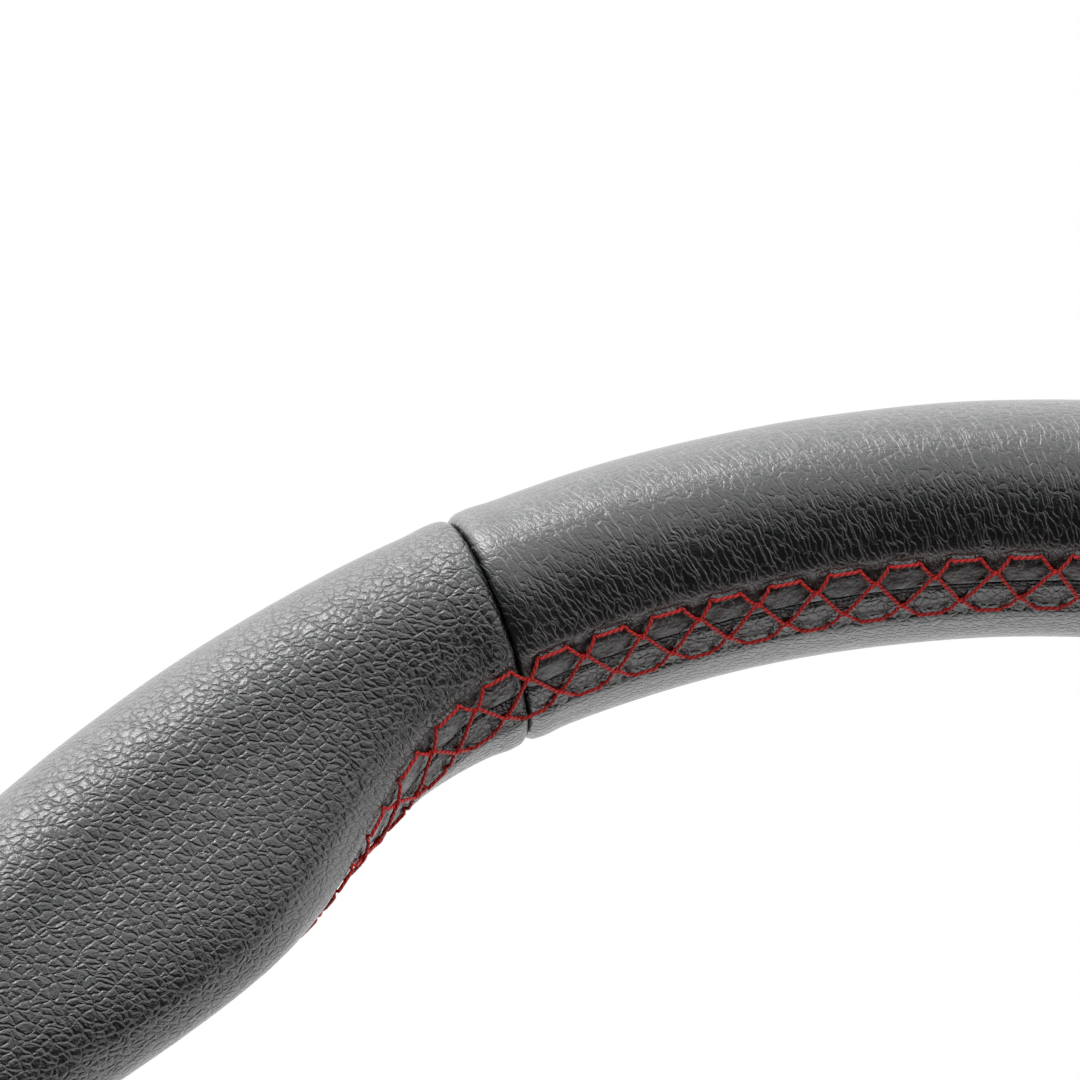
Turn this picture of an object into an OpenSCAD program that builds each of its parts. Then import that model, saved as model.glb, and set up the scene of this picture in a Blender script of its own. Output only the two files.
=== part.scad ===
// Removable steering wheel with a ball lock quick release hub.
// The wheel stands upright: +Z is up, +Y points to the car, and the driver is on the -Y side.
// The origin is the centre of the mouth of the quick release socket.
// Modules are drawn lying down (x right, y up the wheel, z towards the driver) and stood up by upright().

/* [Rim] */
// Outside diameter of the rim
wheel_d = 350; // [320:5:380]
// Width of the rim section, measured across the wheel
rim_w = 26.8; // [24:0.2:30]
// Depth of the rim section, measured towards the driver
rim_deep = 38.2; // [34:0.2:40]
// Thickness of the leather
leather_t = 1.4; // [1:0.1:1.8]
// How far the thumb rest swells inwards
thumb_swell = 11.4; // [0:0.2:12]
// Thumb rest position, in degrees either side of the top
thumb_at = 42.5; // [40:0.5:46]
// Seams between the top panel and the grips, in degrees either side of the top
top_seam = 25; // [20:5:30]
// Seams between the grips and the bottom panel, in degrees either side of the top
low_seam = 120; // [110:5:130]
// Where the laced seam runs round the section, in degrees from the driver side towards the hub
lacing_at = 70; // [66:1:74]
// How far the laced seam swings to the back behind each thumb rest, in degrees round the section
lacing_swing = 50; // [30:2:54]

/* [Spoke frame] */
// Thickness of the aluminium plate
plate_t = 4; // [3:0.5:5]
// Width of a spoke at the hub
spoke_hub_w = 54; // [44:1:60]
// Width of a spoke at the rim
spoke_rim_w = 38; // [30:1:46]
// Width of the lightening slot in each spoke
slot_w = 17; // [8:1:18]

/* [Hub] */
// Outside diameter of the hub flange
flange_d = 85; // [84:1:90]
// Pitch circle diameter of the wheel screws
screw_pcd = 70; // [70:1:72]
// Number of wheel screws
screw_count = 6; // [3:1:6]

/* [Quick release] */
// Diameter of the smooth pilot bore that receives the shaft
pilot_d = 28; // [28:0.1:28.2]
// Number of teeth in the spline
spline_teeth = 24; // [16:1:30]
// Diameter of the lock balls
ball_d = 7; // [6.8:0.1:7]
// Pull of the collar, towards the driver
collar_travel = 7; // [6:0.5:7]
// Outside diameter of the collar's finger flange
finger_d = 62; // [56:1:66]

/* [Horn] */
// Travel of the horn button
horn_travel = 2.5; // [1.5:0.1:2.5]
// Diameter of the horn button
button_d = 49; // [48:0.1:49]

/* [Hidden] */
$fn = 96;
eps = 0.01;

// Heights up the axis, from the mouth of the socket towards the driver
sleeve_top = 40;
web_low = 34;
web_top = 38;
plate_low = 50;
plate_top = plate_low + plate_t;
plate_mid = plate_low + plate_t / 2;
ring_top = plate_top + 3;

// Rim section: an ellipse round a circle, with a thumb rest that swells the side nearest the hub
half_w = rim_w / 2;
half_deep = rim_deep / 2;
section_r = wheel_d / 2 - half_w;
lacing_gap = 10.5;
foam_gap = 0.3;
section_steps = 23;
ring_step = 5;
section_mid = plate_mid - half_deep
    * (cos(lacing_at - lacing_gap) + cos(lacing_at + lacing_gap)) / 2;

// Thumb rest along the rim: it rises fast from the top, falls slower, and leaves a full palm swell
thumb_rise = 16;
thumb_fall = 22;
palm_swell = 1.6;
palm_end = 112;
function bump(a, width) = abs(a) >= width ? 0 : pow(cos(90 * a / width), 2);
function fade(a, from, to) = a <= from ? 0 : a >= to ? 1 : (1 - cos(180 * (a - from) / (to - from))) / 2;
function swell_along(t) = max(
    thumb_swell * bump(t - thumb_at, t < thumb_at ? thumb_rise : thumb_fall),
    palm_swell * fade(t, thumb_at - thumb_rise, thumb_at) * (1 - fade(t, palm_end - 20, palm_end)));
function fold(t) = t > 180 ? 360 - t : abs(t);

// Thumb rest round the section: a flat slope in front, a full corner towards the hub, a long fall behind
function swell_round(p) = fade(p, 22, 60) * (1 - fade(p, 70, 150));
function swell(t, p) = swell_along(fold(t)) * swell_round(p);

// The laced seam runs along the inside of the rim, and behind the thumb rests it swings to the back
function lacing(t) = lacing_at + lacing_swing * fade(fold(t), 23, 49) * (1 - fade(fold(t), 56, 80));

// A point of the rim at t degrees round the wheel and p degrees round the section, set in by inset
function rim_point(t, p, inset) = let (
    p0 = p > 360 ? p - 360 : p,
    r = section_r - (half_w - inset) * sin(p0) - swell(t, p0),
    z = section_mid + (half_deep - inset) * cos(p0))
    [-r * sin(t), r * cos(t), z];

// Angles round the section, from one leather edge to the other
function section_angles(t) = [for (i = [0:section_steps])
    lacing(t) + lacing_gap + (360 - 2 * lacing_gap) * i / section_steps];
function reversed(list) = [for (i = [len(list) - 1:-1:0]) list[i]];

// A skin made of equal rings of points; an open one is closed by its end rings.
// Points from number back on are its inner side. The quads there, and those on the right of the wheel,
// are split the other way, so that both sides match and the wheel is the same left and right.
module skin(rings, closed, back = 1000) {
    n = len(rings);
    k = len(rings[0]);
    last = closed ? n - 1 : n - 2;
    sides = [for (i = [0:last], j = [0:k - 1]) let (
        a = i * k + j,
        b = i * k + (j + 1) % k,
        c = ((i + 1) % n) * k + (j + 1) % k,
        d = ((i + 1) % n) * k + j,
        right = rings[i][j][0] + rings[(i + 1) % n][j][0] > 0,
        turned = right != (j >= back))
        each (turned ? [[a, b, d], [b, c, d]] : [[a, b, c], [a, c, d]])];
    caps = closed ? [] : [[for (j = [k - 1:-1:0]) j], [for (j = [0:k - 1]) (n - 1) * k + j]];
    polyhedron(points = [for (ring = rings) each ring], faces = concat(sides, caps), convexity = 10);
}

// A round wire coiled about the axis
module coil(mean_r, wire_d, z0, z1, turns) {
    steps = 16;
    sides = 6;
    count = round(turns * steps);
    rise = (z1 - z0 - wire_d) / count;
    skin([for (i = [0:count]) let (a = 360 * i / steps)
        [for (j = [sides - 1:-1:0]) let (
            b = 360 * j / sides,
            r = mean_r + wire_d / 2 * cos(b))
            [r * cos(a), r * sin(a), z0 + wire_d / 2 + rise * i + wire_d / 2 * sin(b)]]], false);
}

// A leather panel between two angles round the wheel
module leather(t0, t1) {
    color([0.08, 0.08, 0.085])
    skin([for (t = [t0:ring_step:t1]) concat(
        [for (p = section_angles(t)) rim_point(t, p, 0)],
        [for (p = reversed(section_angles(t))) rim_point(t, p, leather_t)])], false, section_steps + 1);
}

module upright() {
    rotate([90, 0, 0]) children();
}

// The three spokes, at 3, 6 and 9 o'clock
module at_spokes() {
    for (a = [0, -90, 180]) rotate(a) children();
}

module at_screws() {
    for (i = [0:screw_count - 1]) rotate(30 + 360 * i / screw_count)
        translate([screw_pcd / 2, 0]) children();
}

// ---- Rim ----

frame_ring_in = 153.5;
frame_ring_out = 167;

// The foam closes round the frame's ring, with a slit from the ring out to the laced seam
module foam_core() {
    inset = leather_t + foam_gap;
    pocket = [[frame_ring_in - 0.6, plate_top], [frame_ring_out + 0.5, plate_top],
        [frame_ring_out + 0.5, plate_low], [frame_ring_in - 0.6, plate_low]];
    color([0.2, 0.2, 0.21])
    upright()
    skin([for (t = [0:ring_step:359]) concat(
        [for (p = section_angles(t)) rim_point(t, p, inset)],
        [for (corner = pocket) [-corner[0] * sin(t), corner[0] * cos(t), corner[1]]])], true);
}

module leather_top_panel() {
    upright() leather(-top_seam, top_seam);
}

module leather_left_grip() {
    upright() leather(top_seam, low_seam);
}

module leather_right_grip() {
    upright() leather(360 - low_seam, 360 - top_seam);
}

module leather_bottom_panel() {
    upright() leather(low_seam, 360 - low_seam);
}

// The laced strip that fills the gap between the leather edges, one length between each two spokes
module rim_stitching() {
    strip_half = lacing_gap - 0.6;
    strip_t = 1.2;
    function angles(t) = [for (i = [0:4]) lacing(t) - strip_half + 2 * strip_half * i / 4];
    spoke_clear = 10;
    color([0.75, 0.08, 0.06])
    upright()
    for (run = [[-90 + spoke_clear, 90 - spoke_clear], [90 + spoke_clear, 180 - spoke_clear],
                [180 + spoke_clear, 270 - spoke_clear]])
        skin([for (t = [run[0]:ring_step:run[1]]) concat(
            [for (p = angles(t)) rim_point(t, p, 0)],
            [for (p = reversed(angles(t))) rim_point(t, p, strip_t)])], false, 5);
}

// ---- Spoke frame ----

frame_disc_d = 92;
frame_bore_d = 55;

module slot_outline(x0, x1, w) {
    translate([x0, -w / 2]) square([x1 - x0, w]);
    translate([x0, 0]) circle(d = w);
    translate([x1, 0]) circle(d = w);
}

module spoke_frame() {
    slot_start = 66;
    slot_end = 128;
    small_hole_d = 11;
    small_hole_at = 52;
    color([0.1, 0.1, 0.11])
    upright()
    translate([0, 0, plate_low]) linear_extrude(plate_t) difference() {
        union() {
            difference() {
                circle(r = frame_ring_out, $fn = 180);
                circle(r = frame_ring_in, $fn = 180);
            }
            circle(d = frame_disc_d);
            at_spokes() polygon([[0, -spoke_hub_w / 2], [frame_ring_in + 2, -spoke_rim_w / 2],
                [frame_ring_in + 2, spoke_rim_w / 2], [0, spoke_hub_w / 2]]);
        }
        circle(d = frame_bore_d);
        at_screws() circle(d = 5.5);
        at_spokes() slot_outline(slot_start, slot_end, slot_w);
        at_spokes() for (y = [-1, 1]) translate([small_hole_at, y * 15]) circle(d = small_hole_d);
    }
}

// ---- Hub ----

sleeve_r = 18.4;
cup_bore_r = 27.3;
m5_r = 2.5;
screw_tip = 41;
sleeve_screw_r = 21;
sleeve_screw_count = 6;

module at_sleeve_screws() {
    for (i = [0:sleeve_screw_count - 1]) rotate(360 * i / sleeve_screw_count)
        translate([sleeve_screw_r, 0]) children();
}

module hub_flange() {
    chamfer = 1;
    color([0.12, 0.12, 0.13])
    upright()
    difference() {
        rotate_extrude() polygon([
            [sleeve_r, web_low], [flange_d / 2 - 8, web_low], [flange_d / 2 - 4, web_low + 4],
            [flange_d / 2 - 4, plate_low - 7], [flange_d / 2, plate_low - 5],
            [flange_d / 2, plate_low - chamfer], [flange_d / 2 - chamfer, plate_low],
            [cup_bore_r, plate_low], [cup_bore_r, web_top], [sleeve_r, web_top]]);
        at_screws() translate([0, 0, screw_tip - 1]) cylinder(r = m5_r, h = plate_low - screw_tip + 2);
        at_sleeve_screws() translate([0, 0, web_low - 1]) cylinder(d = 3, h = web_top - web_low + 2);
    }
}

// ---- Quick release ----

pilot_len = 7;
relief_r = pilot_d / 2 + 0.3;
relief_end = 17;
spline_minor_r = 12.3;
spline_major_r = 13.3;
disc_seat_r = 14.5;
shoulder_r = 23.5;
groove_low = 0.4;
groove_top = 2.3;
groove_r = 17.1;

ball_z = 12;
ball_r = ball_d / 2;
ball_rest_r = pilot_d / 2 + 1.3;
ball_out = pilot_d / 2 + ball_r - ball_rest_r;
ball_count = 6;
lip_t = 0.15;

// The collar's inner cone touches a ball at every point of the pull, so the ball's travel follows it
cone_slope = ball_out / collar_travel;
cone_r_at_ball = ball_rest_r + (ball_r + 0.03) * sqrt(1 + pow(cone_slope, 2));
collar_low = 2.4;
collar_top = 25.5;
land_r = sleeve_r + 0.08;
land_low = ball_z + (cone_r_at_ball - land_r) / cone_slope;
land_top = 17;
cone_low = 5;
cone_low_r = cone_r_at_ball + cone_slope * (ball_z - cone_low);
spring_pocket_r = 23.5;
collar_r = 25.2;

module at_balls() {
    for (i = [0:ball_count - 1]) rotate(30 + 360 * i / ball_count) children();
}

module spline_outline() {
    tooth = 360 / spline_teeth;
    circle(r = spline_minor_r);
    for (i = [0:spline_teeth - 1]) rotate(i * tooth)
        polygon([[spline_minor_r - 1, -0.9], [spline_major_r, -0.6], [spline_major_r, 0.6],
            [spline_minor_r - 1, 0.9]]);
}

module spline_sleeve() {
    color([0.62, 0.63, 0.65])
    upright()
    difference() {
        rotate_extrude() polygon([
            [spline_minor_r - 2, 0], [sleeve_r - 0.6, 0], [groove_r, groove_low], [groove_r, groove_top],
            [sleeve_r, groove_top], [sleeve_r, web_top], [shoulder_r, web_top], [shoulder_r, sleeve_top],
            [spline_minor_r - 2, sleeve_top]]);
        translate([0, 0, -1]) cylinder(d = pilot_d, h = pilot_len + 1);
        translate([0, 0, pilot_len - eps]) cylinder(r = relief_r, h = relief_end - pilot_len + eps);
        translate([0, 0, relief_end - eps]) linear_extrude(web_low - relief_end + 2 * eps) spline_outline();
        translate([0, 0, web_low]) cylinder(r = disc_seat_r, h = sleeve_top - web_low + 1);
        at_balls() translate([0, 0, ball_z]) rotate([0, 90, 0]) {
            cylinder(r = ball_r - 0.08, h = sleeve_r + 2);
            translate([0, 0, relief_r + lip_t]) cylinder(r = ball_r + 0.05, h = 6);
        }
        at_sleeve_screws() translate([0, 0, web_top - 1]) cylinder(d = 3.2, h = sleeve_top - web_top + 2);
    }
}

// Button head screws with a hexagon socket
module button_screw(shank_r, head_r, head_h, top, tip, socket_r) {
    difference() {
        union() {
            translate([0, 0, tip]) cylinder(r = shank_r, h = top - tip + eps);
            translate([0, 0, top]) cylinder(r1 = head_r, r2 = head_r * 0.72, h = head_h);
        }
        translate([0, 0, top + head_h * 0.35]) cylinder(r = socket_r, h = head_h, $fn = 6);
    }
}

module sleeve_screws() {
    color([0.3, 0.3, 0.32])
    upright() at_sleeve_screws() button_screw(1.5, 2.4, 1.7, sleeve_top, web_low + 0.5, 1);
}

// Snap ring in the sleeve's groove, which stops the collar
module retaining_ring() {
    thickness = 1.75;
    outer_r = 22;
    color([0.25, 0.25, 0.27])
    upright()
    translate([0, 0, groove_low + 0.1]) linear_extrude(thickness) {
        difference() {
            circle(r = outer_r - 0.8);
            circle(r = groove_r);
            polygon([[0, 0], [-4, 30], [4, 30]]);
        }
        for (x = [-1, 1]) translate([x * 4.2, outer_r - 3]) difference() {
            circle(r = 1.9);
            circle(r = 0.9);
        }
    }
}

module thrust_washer() {
    color([0.7, 0.7, 0.72])
    upright() translate([0, 0, web_low - 1]) difference() {
        cylinder(r = 22.6, h = 1);
        translate([0, 0, -1]) cylinder(r = sleeve_r + 0.1, h = 3);
    }
}

module release_collar() {
    finger_r = finger_d / 2;
    finger_top = collar_low + 6;
    flute_count = 24;
    color([0.55, 0.07, 0.07])
    upright()
    difference() {
        rotate_extrude() polygon([
            [cone_low_r, collar_low], [finger_r - 1.5, collar_low], [finger_r, collar_low + 1.5],
            [finger_r, finger_top - 1.5], [finger_r - 1.5, finger_top], [collar_r + 1.5, finger_top],
            [collar_r, finger_top + 1.5], [collar_r, collar_top], [spring_pocket_r, collar_top],
            [spring_pocket_r, land_top], [land_r, land_top], [land_r, land_low],
            [cone_low_r, cone_low]]);
        for (i = [0:flute_count - 1]) rotate(360 * i / flute_count)
            translate([finger_r + 2, 0, collar_low - 1]) cylinder(r = 3, h = 8);
    }
}

module collar_spring() {
    color([0.75, 0.76, 0.78])
    upright() coil(21, 1.6, land_top, web_low - 1, 5);
}

module lock_ball(i) {
    color([0.85, 0.86, 0.88])
    upright() rotate(30 + 360 * (i - 1) / ball_count) translate([ball_rest_r, 0, ball_z]) sphere(r = ball_r);
}

module lock_ball_1() { lock_ball(1); }
module lock_ball_2() { lock_ball(2); }
module lock_ball_3() { lock_ball(3); }
module lock_ball_4() { lock_ball(4); }
module lock_ball_5() { lock_ball(5); }
module lock_ball_6() { lock_ball(6); }

// ---- Horn circuit ----

lead_x = 8;
pin_r = 1.2;
floor_low = 44;
floor_top = 46;
terminal_low = 43;

// Insulating disc that carries the two contact pins
module contact_disc() {
    color([0.85, 0.8, 0.68])
    upright() translate([0, 0, web_low]) difference() {
        cylinder(r = disc_seat_r, h = web_top - web_low);
        for (x = [-1, 1]) translate([x * lead_x, 0, -1]) cylinder(r = pin_r, h = 6);
    }
}

module contact_pins() {
    color([0.8, 0.62, 0.25])
    upright() for (x = [-1, 1]) translate([x * lead_x, 0, web_low - 2.5]) {
        cylinder(r = pin_r, h = web_top - web_low + 2.5);
        translate([0, 0, -0.5]) cylinder(r1 = 0.7, r2 = pin_r, h = 0.5 + eps);
    }
}

module horn_leads() {
    color([0.15, 0.15, 0.16])
    upright() for (x = [-1, 1]) translate([x * lead_x, 0, web_top])
        cylinder(r = 0.9, h = terminal_low - web_top);
}

cup_r = 27.2;
cup_in_r = 25.4;
cup_lip_r = 31;
cup_lip_t = 1.2;
guide_low = 51.6;
guide_r = button_d / 2 + 0.1;
contact_t = 0.6;

module horn_cup() {
    color([0.13, 0.13, 0.14])
    upright()
    difference() {
        rotate_extrude() polygon([
            [0, floor_low], [cup_r, floor_low], [cup_r, plate_top], [cup_lip_r, plate_top],
            [cup_lip_r, plate_top + cup_lip_t], [guide_r, plate_top + cup_lip_t], [guide_r, guide_low],
            [cup_in_r, guide_low], [cup_in_r, floor_top], [0, floor_top]]);
        for (x = [-1, 1]) translate([x * lead_x, 0, floor_low - 1]) cylinder(r = pin_r, h = 4);
    }
}

// Two fixed half rings on the cup's floor, each with its terminal through the floor
module horn_contacts() {
    inner_r = 13;
    outer_r = 19;
    color([0.8, 0.62, 0.25])
    upright() {
        for (side = [0, 180]) rotate(side) {
            translate([0, 0, floor_top]) linear_extrude(contact_t) difference() {
                circle(r = outer_r);
                circle(r = inner_r);
                translate([-outer_r - 1, -outer_r - 1]) square([outer_r + 2.5, 2 * outer_r + 2]);
            }
            translate([lead_x - pin_r, -pin_r, floor_top])
                cube([inner_r + 0.5 - lead_x + pin_r, 2 * pin_r, contact_t]);
            translate([lead_x, 0, terminal_low]) cylinder(r = pin_r, h = floor_top - terminal_low + eps);
        }
    }
}

button_top = 62;
crown_low = 57.2;
flange_top = guide_low - 0.1;
moving_low = floor_top + contact_t + horn_travel + 0.05;
moving_t = 0.8;

module horn_spring() {
    color([0.75, 0.76, 0.78])
    upright() coil(4.6, 1, floor_top, crown_low + 1.5, 6);
}

// Ring that bridges the two fixed contacts when the button is pressed
module horn_contact_ring() {
    color([0.8, 0.62, 0.25])
    upright() translate([0, 0, moving_low]) difference() {
        cylinder(r = 19, h = moving_t);
        translate([0, 0, -1]) cylinder(r = 14.8, h = 3);
    }
}

module horn_button() {
    skirt_r = button_d / 2 + 0.02;
    wall = 2;
    rib_in_r = 16;
    rib_out_r = 18;
    crown_in = crown_low + 1.5;
    crown_r = 12;
    crown_steps = 12;
    edge_r = 3;
    // The crown is a shallow dome from the edge round to the middle
    dome = [for (i = [0:crown_steps]) let (x = (skirt_r - edge_r) * (1 - i / crown_steps))
        [x, button_top - (button_top - crown_low - edge_r) * pow(x / (skirt_r - edge_r), 2)]];
    edge = [for (a = [0:15:75]) [skirt_r - edge_r + edge_r * cos(a), crown_low + edge_r * sin(a)]];
    color([0.07, 0.07, 0.075])
    upright()
    rotate_extrude() polygon(concat(
        [[skirt_r + 0.75, flange_top - 1.5], [skirt_r + 0.75, flange_top], [skirt_r, flange_top]],
        edge, dome,
        [[0, crown_in], [rib_in_r, crown_in], [rib_in_r, moving_low + moving_t],
         [rib_out_r, moving_low + moving_t], [rib_out_r, crown_in], [skirt_r - wall, crown_in - 1],
         [skirt_r - wall, flange_top - 1.5]]));
}

module horn_ring() {
    chamfer = 0.8;
    inner_r = 28;
    outer_r = 43;
    rabbet_r = cup_lip_r + 0.2;
    color([0.1, 0.1, 0.11])
    upright()
    difference() {
        rotate_extrude() polygon([
            [rabbet_r, plate_top], [outer_r, plate_top], [outer_r, ring_top - chamfer],
            [outer_r - chamfer, ring_top], [inner_r + chamfer, ring_top], [inner_r, ring_top - chamfer],
            [inner_r, plate_top + cup_lip_t], [rabbet_r, plate_top + cup_lip_t]]);
        at_screws() translate([0, 0, plate_top - 1]) cylinder(d = 5.5, h = 6);
    }
}

module hub_screws() {
    color([0.3, 0.3, 0.32])
    upright() at_screws() button_screw(m5_r, 4.75, 2.75, ring_top, screw_tip, 1.75);
}

foam_core();
leather_top_panel();
leather_left_grip();
leather_right_grip();
leather_bottom_panel();
rim_stitching();
spoke_frame();
hub_flange();
spline_sleeve();
sleeve_screws();
retaining_ring();
thrust_washer();
release_collar();
collar_spring();
lock_ball_1();
lock_ball_2();
lock_ball_3();
lock_ball_4();
lock_ball_5();
lock_ball_6();
contact_disc();
contact_pins();
horn_leads();
horn_cup();
horn_contacts();
horn_spring();
horn_contact_ring();
horn_button();
horn_ring();
hub_screws();
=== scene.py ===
import math

import bmesh
import bpy
import numpy as np
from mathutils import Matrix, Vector, noise


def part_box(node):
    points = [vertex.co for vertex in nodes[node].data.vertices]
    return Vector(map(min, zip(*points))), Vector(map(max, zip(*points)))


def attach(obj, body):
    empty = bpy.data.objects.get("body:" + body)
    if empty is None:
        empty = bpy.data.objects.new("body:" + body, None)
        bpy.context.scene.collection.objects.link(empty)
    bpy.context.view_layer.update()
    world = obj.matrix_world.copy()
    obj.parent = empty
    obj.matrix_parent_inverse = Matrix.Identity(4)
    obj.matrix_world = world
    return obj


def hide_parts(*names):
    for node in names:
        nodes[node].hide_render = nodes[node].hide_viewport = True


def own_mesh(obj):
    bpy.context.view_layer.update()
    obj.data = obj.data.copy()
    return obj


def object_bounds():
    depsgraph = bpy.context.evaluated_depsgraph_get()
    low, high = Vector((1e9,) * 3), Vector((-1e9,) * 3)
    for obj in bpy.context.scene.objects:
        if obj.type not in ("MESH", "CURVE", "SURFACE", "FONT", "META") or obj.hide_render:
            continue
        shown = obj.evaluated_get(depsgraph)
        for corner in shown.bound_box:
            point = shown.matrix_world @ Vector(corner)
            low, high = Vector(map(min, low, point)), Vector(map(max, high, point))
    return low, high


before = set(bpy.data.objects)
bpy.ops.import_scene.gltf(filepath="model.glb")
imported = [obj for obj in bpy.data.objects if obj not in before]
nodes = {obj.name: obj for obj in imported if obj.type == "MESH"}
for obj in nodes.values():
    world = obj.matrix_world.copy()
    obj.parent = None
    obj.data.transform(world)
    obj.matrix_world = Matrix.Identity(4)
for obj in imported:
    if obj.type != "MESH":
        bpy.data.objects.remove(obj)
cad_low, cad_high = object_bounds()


# ---------------------------------------------------------------------------------------------
# The studio. The wheel is held in the air by its socket, just clear of a pale floor, in a bright
# white surround. A camera below the rim's top looks up at the upper left of the wheel.
# ---------------------------------------------------------------------------------------------

class Wire:
    """A socket of a node tree. Sums on wires add Math nodes to the tree."""

    def __init__(self, tree, socket=None):
        self.tree, self.socket = tree, socket

    def node(self, kind, settings=None, inputs=None, output=0):
        made = self.tree.nodes.new(kind)
        for name, value in (settings or {}).items():
            setattr(made, name, value)
        for key, value in (inputs or {}).items():
            if isinstance(value, Wire):
                self.tree.links.new(value.socket, made.inputs[key])
            else:
                made.inputs[key].default_value = value
        return Wire(self.tree, made.outputs[output])

    def maths(self, operation, *others):
        return self.node("ShaderNodeMath", {"operation": operation}, dict(enumerate((self, *others))))

    def __add__(self, other):
        return self.maths("ADD", other)

    def __sub__(self, other):
        return self.maths("SUBTRACT", other)

    def __rsub__(self, other):
        return self * -1 + other

    def __mul__(self, other):
        return self.maths("MULTIPLY", other)

    def __truediv__(self, other):
        return self.maths("DIVIDE", other)

    __radd__, __rmul__ = __add__, __mul__

    def least(self, other):
        return self.maths("MINIMUM", other)

    def most(self, other):
        return self.maths("MAXIMUM", other)

    def between(self, low, high, start=0.0, end=1.0):
        """Goes smoothly from start to end as this wire goes from low to high."""
        return self.node("ShaderNodeMapRange", {"interpolation_type": "SMOOTHSTEP"},
                         {0: self, 1: low, 2: high, 3: start, 4: end})

    def part(self, axis):
        return self.node("ShaderNodeSeparateXYZ", None, {0: self}, "XYZ".index(axis))

    def tint(self, low, high):
        """The colour low where this wire is 0, and high where it is 1."""
        return self.node("ShaderNodeMix", {"data_type": "RGBA"},
                         {0: self, 6: (*low, 1), 7: (*high, 1)}, 2)


scene = bpy.context.scene
scene.view_settings.view_transform = "Standard"

camera = bpy.data.objects.new("camera", bpy.data.cameras.new("camera"))
scene.collection.objects.link(camera)
camera.location = (-0.0524, -0.3247, 0.0044)
camera.rotation_euler = (math.radians(119.09), 0, math.radians(1.73))
camera.data.lens = 84.1
camera.data.sensor_width = 36
camera.data.clip_start = 0.01
scene.camera = camera

surround = bpy.data.worlds.new("white surround")
surround.use_nodes = True
scene.world = surround
air = Wire(surround.node_tree)
backdrop = surround.node_tree.nodes["Background"]
backdrop.inputs["Color"].default_value = (1, 1, 1, 1)
way = air.node("ShaderNodeTexCoord", output="Generated")
right, back, up = (way.part(axis) for axis in "XYZ")

# In front the light grows from the floor to overhead and is fullest at the upper left
front = up.between(-0.72, -0.10, 0.04, 1.7)
front = front + up.between(-0.1, 0.5, 0.0, 0.5) + up.between(0.4, 0.95, 0.0, 1.0)
front = front + right.between(-0.6, 0.0, 1.3, 0.0) * up.between(0.1, 0.6)
behind = back.between(0.05, 0.75)
front_strength, back_strength = 0.92, 1.5
lit = front * (1 - behind) * front_strength + behind * back_strength
seen = air.node("ShaderNodeLightPath", output="Is Camera Ray")
surround.node_tree.links.new((seen + (1 - seen) * lit).socket, backdrop.inputs["Strength"])

softbox = bpy.data.lights.new("key softbox", "AREA")
softbox.shape = "RECTANGLE"
softbox.size, softbox.size_y = 1.0, 0.6
softbox.energy = 16
lamp = bpy.data.objects.new("key softbox", softbox)
scene.collection.objects.link(lamp)
lamp.location = (-0.7, -1.0, 1.05)
lamp.rotation_euler = (Vector((0, 0, 0.1)) - lamp.location).to_track_quat("-Z", "Y").to_euler()

floor_half = 4.0
floor_gap = 0.0005
floor_z = cad_low.z - floor_gap
floor_mesh = bpy.data.meshes.new("floor")
floor_corners = ((-1, -1), (1, -1), (1, 1), (-1, 1))
floor_mesh.from_pydata([(x * floor_half, y * floor_half, floor_z) for x, y in floor_corners],
                       [], [(0, 1, 2, 3)])
floor = bpy.data.objects.new("floor", floor_mesh)
scene.collection.objects.link(floor)
floor_paint = bpy.data.materials.new("floor paint")
floor_paint.use_nodes = True
floor_shader = floor_paint.node_tree.nodes["Principled BSDF"]
floor_shader.inputs["Base Color"].default_value = (0.62, 0.62, 0.62, 1)
floor_shader.inputs["Roughness"].default_value = 0.7
floor_mesh.materials.append(floor_paint)
floor.visible_glossy = False
floor.visible_diffuse = False


# ---------------------------------------------------------------------------------------------
# Foam core. Firm foam moulded round the spoke frame's ring, left open along the line where the
# leather edges are tucked in. Its outer form gives the rim its section and its two thumb rests.
# ---------------------------------------------------------------------------------------------

def new_finish(name, **uniform):
    """A material with uniform values on its shader. Returns the material, a wire and the shader."""
    material = bpy.data.materials.new(name)
    material.use_nodes = True
    shader = material.node_tree.nodes["Principled BSDF"]
    for socket, value in uniform.items():
        shader.inputs[socket.replace("_", " ")].default_value = value
    return material, Wire(material.node_tree), shader


def feed(shader, **sockets):
    """Links wires to the shader's sockets."""
    for socket, wire in sockets.items():
        wire.tree.links.new(wire.socket, shader.inputs[socket.replace("_", " ")])


def dress(node, material):
    """Gives a CAD node its finish."""
    slots = nodes[node].data.materials
    slots.clear()
    slots.append(material)


foam, wire, shader = new_finish("moulded foam", Base_Color=(0.03, 0.03, 0.032, 1))
place = wire.node("ShaderNodeTexCoord", output="Object")
skin = wire.node("ShaderNodeTexNoise", None, {"Vector": place, "Scale": 900.0, "Detail": 3.0})
feed(shader, Roughness=skin.between(0.3, 0.7, 0.6, 0.85),
     Normal=wire.node("ShaderNodeBump", None, {"Height": skin, "Distance": 0.0003}))
dress("foam_core", foam)

top_low, top_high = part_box("leather_top_panel")
half_wide = 0.0134
half_deep = (top_high.y - top_low.y) / 2
mid_y = (top_high.y + top_low.y) / 2
section_radius = top_high.z - half_wide
thumb_swell = 0.0114
thumb_at, thumb_rise, thumb_fall = 42.5, 16.0, 22.0
palm_swell, palm_end = 0.0016, 112.0


def bump(angle, width):
    return np.where(np.abs(angle) < width, np.cos(np.pi / 2 * angle / width) ** 2, 0.0)


def fade(value, start, end):
    return (1 - np.cos(np.pi * np.clip((value - start) / (end - start), 0, 1))) / 2


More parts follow.
